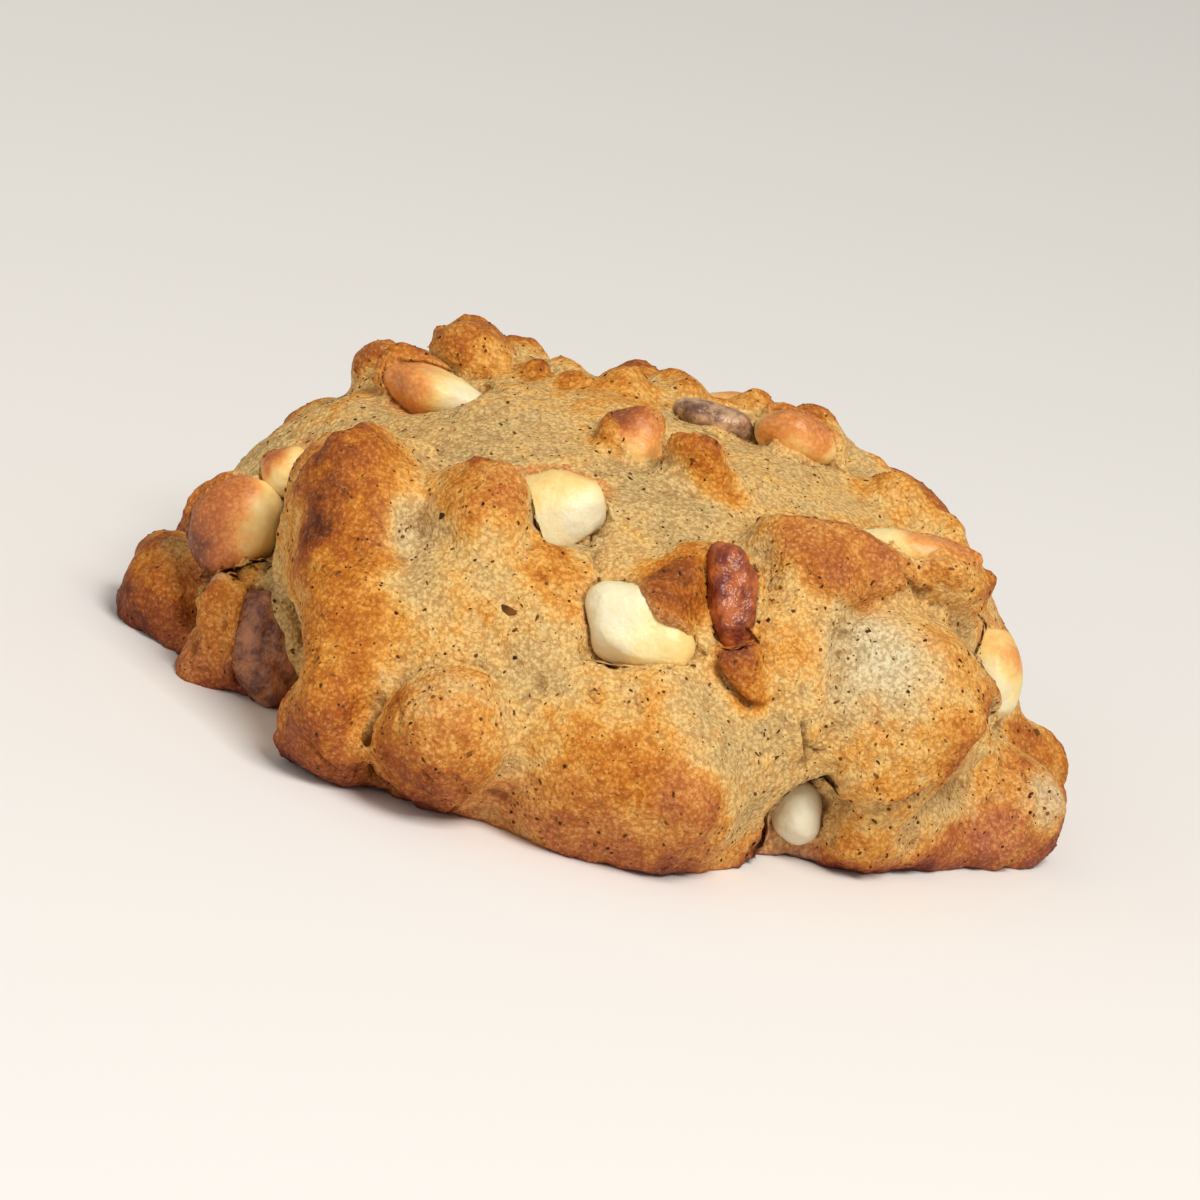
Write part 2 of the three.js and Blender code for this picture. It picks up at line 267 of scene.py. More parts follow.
def waves(places, length, seed, octaves=1):
    """Perlin noise of that wavelength in mm at each place, about -1 to 1."""
    offset = Vector((seed * 7.31, seed * 3.17, seed * 5.53))
    scale = 1 / (length * MM)
    return np.array(
        [noise.fractal(Vector(p) * scale + offset, 1.0, 2.0, octaves) for p in places]
    )


def distance_to(places, point):
    return np.linalg.norm(places - np.array(point), axis=1) / MM


def along_path(places, path):
    """For each place, its distance from a line through points, how far along that is, and the
    segment. The line and the places may be flat or not."""
    nearest = np.full(len(places), np.inf)
    along = np.zeros(len(places))
    segment = np.zeros(len(places), int)
    passed = 0.0
    for i, (a, b) in enumerate(zip(path, path[1:])):
        a, b = np.array(a), np.array(b)
        span = b - a
        length = np.linalg.norm(span)
        t = np.clip((places - a) @ span / length**2, 0, 1)
        d = np.linalg.norm(places - a - t[:, None] * span, axis=1)
        closer = d < nearest
        nearest[closer] = d[closer]
        along[closer] = passed + t[closer] * length
        segment[closer] = i
        passed += length
    return nearest, along, segment, passed


def inside_outline(flat, outline):
    """How far inside a closed outline flat points lie, in its units. Outside it is negative."""
    closed = outline + outline[:1]
    d = along_path(flat, closed)[0]
    within = np.zeros(len(flat), bool)
    for (x0, y0), (x1, y1) in zip(closed, closed[1:]):
        if y0 == y1:
            continue
        crosses = (flat[:, 1] < y0) != (flat[:, 1] < y1)
        within ^= crosses & (flat[:, 0] < x0 + (flat[:, 1] - y0) / (y1 - y0) * (x1 - x0))
    return np.where(within, d, -d)


# ---- chips and fruit

MORSELS = [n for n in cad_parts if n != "dough"]

# The shape of the opening in the dough through which a chip or a piece of fruit shows. The others
# show through an opening of their own shape, a little smaller.
OPENINGS = {
    "chip_left": [
        (-42.4, 8.4), (-41.6, 11.4), (-40.2, 13.8), (-37.6, 15.6), (-35.4, 16.0), (-34.2, 16.2),
        (-32.2, 15.4), (-32.2, 13.0), (-32.4, 10.0), (-32.9, 8.0), (-35.0, 7.3), (-36.0, 6.0),
        (-37.2, 4.2), (-39.0, 3.4), (-41.0, 4.2), (-42.4, 6.6)],
    "chip_nib": [
        (-36.4, 17.8), (-34.6, 19.4), (-31.6, 18.8), (-32.2, 15.8), (-33.8, 15.0), (-35.8, 15.6)],
    "chip_top_left": [
        (-27.4, 27.2), (-26.2, 28.7), (-23.2, 29.2), (-20.6, 28.9), (-17.0, 28.5), (-18.2, 26.7),
        (-20.8, 25.6), (-23.4, 24.6), (-25.6, 25.2)],
    "chip_crown": [
        (-12.4, 21.2), (-11.0, 23.4), (-7.0, 23.8), (-4.2, 22.4), (-3.2, 19.6), (-4.2, 17.2),
        (-6.0, 15.9), (-7.8, 15.5), (-8.9, 16.5), (-10.0, 18.3), (-11.4, 20.0)],
    "chip_middle": [
        (-3.4, 12.1), (-1.6, 14.0), (0.9, 13.7), (2.0, 12.2), (3.6, 10.9), (6.6, 10.5), (8.6, 9.6),
        (7.4, 8.4), (3.6, 7.9), (1.4, 7.2), (-0.4, 6.2), (-1.6, 7.6), (-2.6, 9.9)],
    "chip_foot": [
        (19.6, -0.8), (21.0, 0.8), (22.9, -1.0), (23.1, -3.7), (22.6, -7.2), (18.6, -7.2),
        (18.8, -3.0)],
    "chip_right": [
        (33.4, 18.1), (34.4, 20.0), (37.6, 20.0), (40.4, 16.4), (40.4, 13.4), (38.4, 11.8),
        (35.8, 10.8), (34.8, 10.4), (34.9, 13.0), (34.4, 15.6)],
    "chip_behind_crest": [
        (18.6, 24.1), (20.6, 25.6), (24.2, 27.2), (28.8, 27.4), (31.6, 25.8), (31.4, 24.2),
        (29.4, 24.5), (27.0, 24.5), (25.2, 23.3), (23.0, 24.1), (20.6, 24.1)],
    "chip_rim": [
        (7.6, 32.6), (9.4, 36.0), (15.4, 36.0), (18.4, 31.6), (17.2, 29.6), (13.0, 30.2),
        (10.4, 31.1), (8.4, 31.4)],
    "chip_teardrop": [
        (-5.4, 29.2), (-5.0, 30.8), (-3.6, 31.2), (-2.2, 30.4), (-0.8, 29.4), (1.0, 28.7),
        (0.6, 27.2), (-0.6, 26.0), (-2.0, 25.4), (-3.0, 26.6), (-4.0, 28.0)],
    "fruit_strip": [
        (6.6, 18.5), (7.4, 21.2), (10.2, 20.6), (11.2, 17.2), (11.7, 14.0), (11.9, 12.0),
        (11.3, 10.8), (10.4, 10.6), (9.2, 11.9), (7.8, 14.0), (7.2, 16.5)],
    "fruit_left": [
        (-33.6, 4.8), (-32.0, 4.6), (-30.8, 2.6), (-28.8, -0.5), (-27.2, -2.7), (-27.4, -8.4),
        (-31.4, -8.8), (-32.5, -4.8), (-33.1, -1.0), (-33.6, 2.0)],
    "fruit_rim": [
        (-0.4, 31.6), (0.6, 33.6), (7.4, 33.8), (9.6, 31.2), (7.6, 30.2), (5.6, 30.8), (3.0, 30.6),
        (0.6, 30.8)],
}


def morsel_skin(node):
    """The visible face of a chip or piece of fruit: its CAD solid, softened and made fuller."""
    kind = node.split("_")[0]
    morsel = merged_copy(node, node + "_skin")
    with_modifier(morsel, "SUBSURF", levels=3, render_levels=3)
    smoothed(morsel, 30)
    grown(morsel, 0.5)
    spots = places_of(morsel.data)
    out = normals_of(morsel.data)
    if kind == "chip":
        swell = 0.5 * waves(spots, 4.4, 5, 1) + 0.2 * waves(spots, 2.2, 15, 1)
    else:
        swell = 0.15 - 0.45 * np.abs(waves(spots, 3.0, 6, 1)) + 0.1 * waves(spots, 1.6, 7, 1)
    put_places(morsel.data, spots + out * (swell * MM)[:, None])
    morsel.data.shade_smooth()
    return morsel


skins = {node: morsel_skin(node) for node in MORSELS}


def settle(skin, body, calm):
    """Flattens what stands proud of the dough round a chip or a piece of fruit, as it melts in."""
    face = places_of(skin.data)
    centre = face.mean(0)
    out = np.array(calm.find_nearest(Vector(centre))[1])

    def height_and_width(places):
        away = (places - centre) / MM
        height = away @ out
        return height, np.linalg.norm(away - height[:, None] * out, axis=1)

    height, width = height_and_width(face)
    size = np.percentile(width, 80)
    around, far = height_and_width(places_of(body.data))
    ring = (far > 0.9 * size) & (far < 1.4 * size + 1) & (np.abs(around) < 5)
    ring &= normals_of(body.data) @ out > 0.3
    level = np.median(around[ring]) + PROUD
    lowered = np.where(height > level, (height - level) * (1 - FLATTENED), 0)
    put_places(skin.data, face - lowered[:, None] * out * MM)


# ---- the dough's form

# Edges where one lobe stands over what is beside it: places (across, up) with the lobe on the left
# on the way along them, how far it rises there, how far in that reaches, and how deep the ditch
# beside it is. How wide the ditch is, and over what length an edge fades out at its ends. All in mm.
DITCH_WIDTH = 1.3
EDGE_FADE = 2.0
EDGES = [
    # The tall lobe's left edge, from its top round to the fruit, and the shoulder's lower edge.
    ([(-19.4, 20.0), (-20.8, 21.4), (-23.0, 22.0), (-26.0, 21.6), (-28.6, 20.2), (-30.6, 18.2)],
      1.1, 3.4, 0.7),
    ([(-30.6, 18.2), (-31.6, 16.0), (-32.0, 13.4), (-32.0, 9.0), (-31.6, 5.8), (-30.4, 2.6),
      (-28.6, -0.5), (-27.0, -3.2), (-26.6, -7.6)], 0.5, 3.0, 1.2),
    ([(-30.0, 13.6), (-28.0, 11.8), (-25.6, 11.0), (-22.6, 11.2)], 0.6, 2.4, 0.35),
    # The upright lump beside the fruit.
    ([(-32.4, -5.0), (-33.1, -1.0), (-33.5, 3.6), (-33.2, 7.4)], 0.7, 1.8, 0.3),
    ([(-35.0, 7.6), (-36.6, 5.6), (-37.4, 2.6), (-37.0, -0.6), (-36.2, -3.4)], 0.7, 1.8, 0.6),
    # The small lobe's top, over the chip.
    ([(-8.0, 15.0), (-9.4, 17.0), (-11.0, 19.6), (-13.4, 21.1), (-16.0, 21.0), (-18.2, 19.8)],
      0.8, 2.8, 0.3),
    # The ball's left side and top.
    ([(-8.0, 1.0), (-10.6, 2.4), (-13.8, 2.3), (-16.2, 1.0), (-18.0, -1.6), (-18.7, -4.8),
      (-17.2, -8.0), (-14.2, -10.0)], 0.7, 2.6, 0.7),
    # The nose: its right end, and the crease between its two swellings.
    ([(7.4, -9.4), (7.8, -6.4), (7.2, -3.0)], 0.35, 1.8, 0.3),
    # The wedge, and the tail of the fruit strip.
    ([(2.0, 12.4), (1.3, 14.0), (3.6, 16.6), (6.4, 18.8), (8.6, 19.8)][::-1], 0.8, 2.4, 0.5),
    ([(1.6, 13.0), (3.6, 10.9), (6.0, 10.8), (8.0, 11.6)], 0.6, 1.8, 0.3),
    ([(9.0, 10.2), (10.2, 8.8), (12.6, 7.0), (15.0, 6.4)], 0.7, 2.2, 0.7),
    # The crest: its top, and its lower side.
    ([(32.4, 22.4), (30.2, 23.9), (27.4, 24.1), (25.5, 23.6), (23.6, 22.9), (20.6, 23.6),
      (18.0, 24.1), (15.2, 23.8), (12.4, 23.4), (9.6, 22.6)], 0.8, 2.6, 0.25),
    ([(15.0, 19.8), (17.0, 17.8), (20.8, 17.4), (23.3, 19.0), (25.0, 20.8), (27.4, 19.8),
      (29.4, 20.4)], 0.5, 2.0, 0.4),
    # The round pale lobe, from its right side down under its chin, and its left side.
    ([(24.0, 0.2), (28.4, 0.8), (31.0, 2.8), (32.9, 5.2), (33.9, 7.8), (34.6, 10.2), (34.8, 12.8),
      (34.4, 15.5), (33.4, 17.8), (32.2, 19.6)], 1.2, 3.4, 1.0),
    ([(23.7, 19.0), (21.7, 16.4), (20.7, 14.0), (20.8, 11.2), (21.3, 8.6), (20.8, 6.0)],
      0.8, 2.8, 0.5),
    ([(31.4, 6.4), (27.0, 6.4), (23.6, 7.8), (21.4, 9.0)], 0.3, 2.2, 0.25),
    # The right end's inner shoulder.
    ([(39.6, -4.2), (42.0, -1.4), (42.6, 2.4), (42.0, 6.0)], 0.4, 2.4, 0.3),
    ([(38.2, 8.0), (38.0, 4.0), (36.4, 1.0), (33.4, -1.0)][::-1], 0.5, 2.4, 0.3),
    # The knobs and bumps of the top slope.
    ([(-16.0, 30.2), (-15.8, 32.6), (-18.0, 34.4), (-21.3, 34.8), (-24.2, 33.0), (-23.8, 30.4),
      (-20.0, 29.2), (-16.4, 29.8)], 0.9, 2.0, 0.4),
    ([(9.9, 24.4), (7.0, 26.2), (5.6, 27.9), (3.6, 28.4), (1.8, 27.9), (0.4, 26.4)], 0.9, 2.2, 0.5),
]

# Flanks moved aside, so that the chip beside them shows: (across, up), how far behind what shows
# there the middle of the flank is, radius, and how far it goes across and up. All in mm.
NUDGES = [
    ((-29.4, -1.4), 5.0, 7.5, (5.0, 0.0)),
    ((-31.4, 11.0), 3.0, 6.0, (1.4, 0.0)),
    ((36.0, 12.2), 2.0, 5.0, (-4.4, 0.0)),
    ((18.0, -4.0), 2.0, 4.0, (-1.6, 0.0)),
    ((23.8, -0.4), 2.0, 4.0, (1.2, 1.2)),
]

# Lumps: (across, up), half sizes across, up and along the sight line and rise in mm, and for some
# their roll in degrees.
LUMPS = [
    ((-43.4, 4.0), (3.4, 4.6, 4.5), 0.7),
    ((-35.5, 2.0), (2.2, 5.4, 4.0), 0.9, -6),
    ((-36.6, -4.4), (4.0, 2.8, 4.0), 0.6),
    ((-25.4, 16.6), (6.2, 5.4, 6.0), 1.0, 10),
    ((-24.0, 4.0), (6.4, 6.4, 6.0), 0.5),
    ((-13.6, 17.0), (4.0, 4.4, 5.0), 1.2, 14),
    ((-12.2, -3.4), (6.6, 6.2, 6.0), 1.4),
    ((-6.4, 13.6), (3.4, 2.2, 3.0), 0.6, -8),
    ((4.6, 6.6), (3.2, 2.6, 3.0), 0.5),
    ((5.0, 14.6), (3.2, 2.8, 3.4), 0.9, 40),
    ((14.2, 11.0), (5.0, 3.2, 4.0), 0.5, -44),
    ((20.6, -8.8), (2.8, 2.6, 3.4), -1.8),
    ((-7.4, 34.0), (3.0, 2.4, 4.0), -0.7),
    ((-1.4, 34.6), (3.2, 2.4, 4.0), -1.0),
    ((5.6, 35.0), (3.4, 2.6, 4.0), -1.2),
    ((16.4, 12.4), (4.0, 5.0, 4.0), 0.5),
    ((10.4, -4.6), (3.8, 4.4, 4.0), 0.7),
    ((4.4, -2.4), (3.4, 4.0, 4.0), 0.4),
    ((18.4, 21.0), (6.2, 3.2, 4.0), 1.1, 2),
    ((28.6, 22.0), (3.6, 2.8, 3.6), 1.0, 6),
    ((27.6, 11.0), (7.0, 8.6, 7.0), 0.9),
    ((27.0, 4.6), (4.6, 3.2, 4.0), 0.6, 6),
    ((41.2, 8.4), (3.4, 2.6, 3.4), 0.6, -40),
    ((39.4, 0.4), (3.0, 4.4, 3.6), 0.8, 20),
    ((-20.0, 31.6), (4.2, 2.6, 4.0), 0.8, 4),
    ((-27.6, 28.6), (3.2, 1.9, 3.0), 0.7, 24),
    ((-13.4, 31.6), (1.7, 1.2, 2.0), 0.6),
    ((-10.0, 31.6), (1.9, 1.2, 2.0), 0.6),
    ((3.6, 26.8), (3.6, 1.9, 3.6), 0.9, -16),
    ((-5.0, 27.2), (1.4, 2.6, 2.4), 0.9),
]

# Creases: places (across, up), half width and depth in mm.
CREASES = [
    ([(-18.6, -3.0), (-18.9, -6.0), (-17.6, -8.4), (-15.0, -9.9), (-12.6, -10.8)], 0.5, 1.3),
    ([(-17.0, -6.2), (-15.8, -8.2), (-13.6, -9.2), (-12.2, -9.6)], 0.4, 1.3),
    ([(-12.6, -10.4), (-10.6, -10.2), (-9.4, -9.4)], 0.3, 0.9),
    ([(-13.8, -6.8), (-12.4, -7.6), (-11.6, -8.8)], 0.25, 0.5),
    ([(-10.6, -6.4), (-9.2, -7.6), (-9.0, -8.8)], 0.25, 0.45),
    ([(-17.6, -1.2), (-16.4, -2.6), (-16.4, -4.6)], 0.25, 0.4),
    ([(-13.4, 3.3), (-11.0, 3.5), (-8.6, 2.6)], 0.35, 0.4),
    ([(-0.8, 4.4), (-0.6, 3.4), (0.8, 2.6)], 0.25, 0.4),
    ([(18.8, 6.0), (19.2, 5.0), (19.7, 3.6), (20.2, 2.6)], 0.3, 1.1),
    ([(19.4, 4.2), (20.6, 3.6), (21.6, 3.8)], 0.25, 0.6),
    ([(3.0, 4.6), (4.2, 3.4), (3.8, 2.2)], 0.25, 0.4),
    ([(-33.2, -1.0), (-32.6, -3.4), (-31.4, -5.6)], 0.4, 0.8),
    ([(-24.2, -7.0), (-22.6, -8.6), (-20.6, -9.4)], 0.3, 0.5),
    ([(9.4, 9.4), (11.4, 7.4), (14.4, 5.8)], 0.5, 0.8),
    ([(23.8, 22.2), (25.0, 21.0), (26.6, 19.6)], 0.35, 0.6),
    ([(-38.4, 5.6), (-38.2, 2.6), (-37.6, -0.6)], 0.5, 0.9),
    ([(-36.0, -5.2), (-34.8, -5.8), (-33.6, -6.4)], 0.3, 0.6),
    ([(-29.6, 4.4), (-27.6, 1.6), (-27.2, -1.8)], 0.35, 0.35),
    ([(-25.6, 1.4), (-25.2, -1.2)], 0.3, 0.3),
    ([(-19.4, 17.6), (-19.6, 14.6), (-18.6, 12.4)], 0.7, 0.2),
    ([(41.0, 7.0), (41.4, 4.6), (41.0, 1.8)], 0.5, 0.4),
    ([(-3.6, 16.6), (-3.2, 15.0), (-2.4, 14.0)], 0.5, 0.4),
]

# Small holes: (across, up), radius and depth in mm.
PITS = [
    ((34.7, 8.2), 1.3, 1.0),
    ((27.0, 20.2), 0.8, 0.8),
    ((32.3, -2.6), 0.8, 0.7),
    ((-19.8, 13.4), 1.4, 0.3),
    ((-37.2, 5.0), 0.6, 0.9),
    ((-5.0, 3.6), 1.4, 0.4),
    ((-4.8, 23.6), 0.9, 0.6),
    ((20.0, 2.2), 0.7, 0.6),
    ((12.6, 2.0), 0.8, 0.4),
]


def edge_push(places, tree, path, rise, reach, ditch):
    """How far out an edge moves each place, in mm. It fades out towards both its ends."""
    line = [np.array(FRONT.seen(tree, *p)) for p in path]
    push = np.zeros(len(places))
    near = distance_to(places, sum(line) / len(line)) < 60
    d, along, segment, length = along_path(places[near], line)
    flat = FRONT.flat(places[near])
    start = FRONT.flat(np.array(line))
    span = (start[1:] - start[:-1])[segment]
    away = flat - start[segment]
    across = span[:, 0] * away[:, 1] - span[:, 1] * away[:, 0]
    across = across / np.maximum(np.linalg.norm(span, axis=1), 1e-6)
    d, along, length = d / MM, along / MM, length / MM
    inner = ramp(np.where(np.abs(across) < d, np.sign(across) * d, across), -0.4, 0.4)
    fade = ramp(along, -0.01, EDGE_FADE) * ramp(length - along, -0.01, EDGE_FADE)
    push[near] = fade * (inner * rise * bell(d / reach) - (1 - inner) * ditch * bell(d / DITCH_WIDTH))
    return push


def lump_push(places, tree, place, half, rise, roll=0):
    """How far out a lump moves each place, in mm. Its outline is a little uneven."""
    away = (places - np.array(FRONT.seen(tree, *place))) / MM
    turn = math.radians(roll)
    x, y, z = (away @ np.array(axis) for axis in (FRONT.right, FRONT.up, FRONT.along))
    a = (x * math.cos(turn) + y * math.sin(turn)) / half[0]
    b = (y * math.cos(turn) - x * math.sin(turn)) / half[1]
    share = np.sqrt(a**2 + b**2 + (z / half[2]) ** 2)
    near = share < 1.6
    share[near] *= 1 + 0.22 * waves(places[near], 4.0, 4, 1)
    return rise * np.clip(1.15 - share**2, 0, 1)


def work_crumb(dough):
    """Works creases, pits and the crust's unevenness into the dough."""
    mesh = dough.data
    tree = tree_of(dough)
    places = places_of(mesh)
    normals = normals_of(mesh)
    push = np.zeros(len(places))
    for path, width, depth in CREASES:
        d, along, _, length = along_path(places, [FRONT.seen(tree, *p) for p in path])
        d = d / MM + 0.25 * width
        fade = ramp(along / MM, -0.2, 1.0) * ramp((length - along) / MM, -0.2, 1.0)
        push += fade * depth * (0.3 * bell((d - 2.0 * width) / width) - bell(d / width))
    for place, radius, depth in PITS:
        push -= depth * bell(distance_to(places, FRONT.seen(tree, *place)) / radius)
    # Broad unevenness, and crumb that is rougher in patches and towards the foot.
    push += 0.3 * waves(places, 6.5, 1, 2)
    rough = 0.6 + 0.8 * ramp(waves(places, 9.0, 21), -0.3, 0.4)
    rough += 0.5 * ramp(-places[:, 2] / MM, -9, -1)
    push += rough * (0.2 * waves(places, 2.4, 2, 2) + 0.14 * waves(places, 1.3, 3, 2))
    places += normals * (push * MM)[:, None]
    put_places(mesh, places)


def open_over(dough, node):
    """Pushes the dough in where a chip or piece of fruit shows, with a lip round the opening.
    Returns the vertices near it, and how far inside the opening each is, in mm."""
    deepest = OPENING_REACH.get(node, USUAL_REACH)
    tree = tree_of(skins[node])
    face = places_of(skins[node].data)
    centre = face.mean(0)
    mesh = dough.data
    places = places_of(mesh)
    reach = distance_to(face, centre).max() + deepest
    near = np.nonzero(distance_to(places, centre) < reach)[0]
    spots = places[near]
    hits = [tree.find_nearest(Vector(p))[:2] for p in spots]
    foot, out = (np.array(found) for found in zip(*hits))
    above = np.einsum("ij,ij->i", spots - foot, out) / MM
    jitter = 0.35 * waves(spots, 1.8, 31, 2)
    if node in OPENINGS:
        inner = inside_outline(FRONT.flat(spots), OPENINGS[node]) + jitter
        inward = FRONT.along
    else:
        inward = -Vector(centre - np.array((0, 3, 4)) * MM).normalized()
        lie = inward.to_track_quat("Z", "Y").to_matrix()
        flat, rim = (q @ np.array(lie)[:, :2] for q in (spots - centre, face - centre))
        angle, rim_angle = (np.arctan2(q[:, 1], q[:, 0]) for q in (flat, rim))
        sector = np.linspace(-math.pi, math.pi, 25)
        far = np.linalg.norm(rim, axis=1)
        size = [far[np.abs(rim_angle - a) < 0.3].max() for a in sector]
        jitter += 0.7 * waves(spots, 5.0, 33)
        rim_at = SHOWN_SHARE * np.interp(angle, sector, size)
        inner = (rim_at - np.linalg.norm(flat, axis=1)) / MM + jitter
    opened = ramp(inner, -0.22, 0.22)
    # The lip: up to the face and just over it.
    lip = (LIP - above) * (1 - opened) * (above > -1.5) * (above < LIP)
    spots = spots + out * (lip * MM)[:, None]
    # The opening: in along the sight line, to just under the face, with a wall that slopes back.
    toward = np.array(inward)
    shown = normals_of(skins[node].data) @ toward < -GRAZING
    if node in OPENINGS:
        shown &= inside_outline(FRONT.flat(face), OPENINGS[node]) > 0
    shown = face[shown]
    # What faces sideways stays as the wall.
    faced = ramp(-(normals_of(mesh)[near] @ toward), 0.1, 0.4)
    share = np.maximum(faced, ramp(inner, 0.0, 0.9))
    for i in np.nonzero((share > 0) & (inner > -deepest / WALL_SLOPE))[0]:
        point, normal, _, _ = tree.ray_cast(Vector(spots[i]) - inward * deepest * MM, inward)
        if point is None or normal.dot(inward) > -GRAZING:
            away = shown - spots[i]
            away -= (away @ toward)[:, None] * toward
            point = shown[(away**2).sum(1).argmin()]
        height = (np.array(point) - spots[i]) @ toward / MM
        sunk = height + OPENING_SUNK - WALL_SLOPE * max(-inner[i], 0)
        if sunk > 0 and height < deepest:
            spots[i] += toward * (sunk * share[i] * MM)
    places[near] = spots
    put_places(mesh, places)
    return near, np.where(above < deepest, inner, -9)


def filled_dough(fillings, name):
    """The CAD dough and what fills its pockets, as one soft skin."""
    body = joined([merged_copy("dough", "body")] + fillings, name)
    with_modifier(body, "REMESH", mode="VOXEL", voxel_size=BODY_VOXEL)
    return smoothed(body, FACET_SMOOTHING)


def shaped_dough():
    """The dough's skin over its chips, with its edges and lumps, before its crumb is worked in."""
    rough = filled_dough([grown(merged_copy(node, node), FILLING_COVER) for node in MORSELS], "rough")
    soft = smoothed(copy_of(rough), CALM_ROUNDS)
    calm = tree_of(soft)
    for skin in skins.values():
        settle(skin, rough, calm)
    removed(rough)
    removed(soft)
    body = filled_dough([copy_of(skin) for skin in skins.values()], "dough_skin")
    mesh = body.data
    # Lobes stand out more and hollows lie deeper than in the plain solid.
    rise = RELIEF_GAIN * np.clip(rise_over(body, LOBE_ROUNDS), *RELIEF_LIMITS)
    put_places(mesh, places_of(mesh) + normals_of(mesh) * (rise * MM)[:, None])
    tree = tree_of(body)
    places = places_of(mesh)
    for place, sunk, radius, (across, up) in NUDGES:
        share = bell(distance_to(places, FRONT.seen(tree, *place, sunk)) / radius)
        places += share[:, None] * np.array(FRONT.right * across + FRONT.up * up) * MM
    put_places(mesh, places)
    tree = tree_of(body)
    push = sum(edge_push(places, tree, *given) for given in EDGES)
    push += sum(lump_push(places, tree, *given) for given in LUMPS)
    out = normals_of(mesh)
    # What faces away from the front is craggy too: rounded swells with creases between them.
    hidden = ramp(out @ np.array(FRONT.along), -0.05, 0.35)
    push += hidden * (SWELL_RISE * np.abs(waves(places, SWELL_SIZE, 17, 2)) - SWELL_CREASE)
    put_places(mesh, places + out * (push * MM)[:, None])
    for node in MORSELS:
        open_over(body, node)
    with_modifier(body, "REMESH", mode="VOXEL", voxel_size=DOUGH_VOXEL)
    return smoothed(body, DOUGH_SMOOTHING)


def thinned(dough):
    """Leaves few faces in the flat underside, and no more than the limit in all."""
    places = places_of(dough.data)
    flat = np.nonzero(places[:, 2] < 0.02 * MM)[0]
    group = dough.vertex_groups.new(name="base")
    group.add([int(i) for i in flat], 1.0, "REPLACE")
    kept = 1 - (1 - BASE_KEPT) * len(flat) / len(places)
    with_modifier(dough, "DECIMATE", ratio=kept, vertex_group="base", vertex_group_factor=1.0)
    dough.vertex_groups.clear()
    dough.data.calc_loop_triangles()
    kept = min(1.0, DOUGH_TRIANGLES / len(dough.data.loop_triangles))
    with_modifier(dough, "DECIMATE", ratio=kept)


dough = shaped_dough()
work_crumb(dough)
opened = np.full(len(dough.data.vertices), -9.0)
chip_near = np.full(len(opened), -9.0)
for node in MORSELS:
    near, inner = open_over(dough, node)
    opened[near] = np.maximum(opened[near], inner)
    if node.startswith("chip"):
        chip_near[near] = np.maximum(chip_near[near], inner)
put_attribute(dough.data, "opened", opened)
put_attribute(dough.data, "chip_near", chip_near)
for piece in (dough, *skins.values()):
    spots = places_of(piece.data)
    spots[:, 2] = np.maximum(spots[:, 2], 0)
    put_places(piece.data, spots)
thinned(dough)
dough.data.shade_smooth()


# ---- the crust's browning

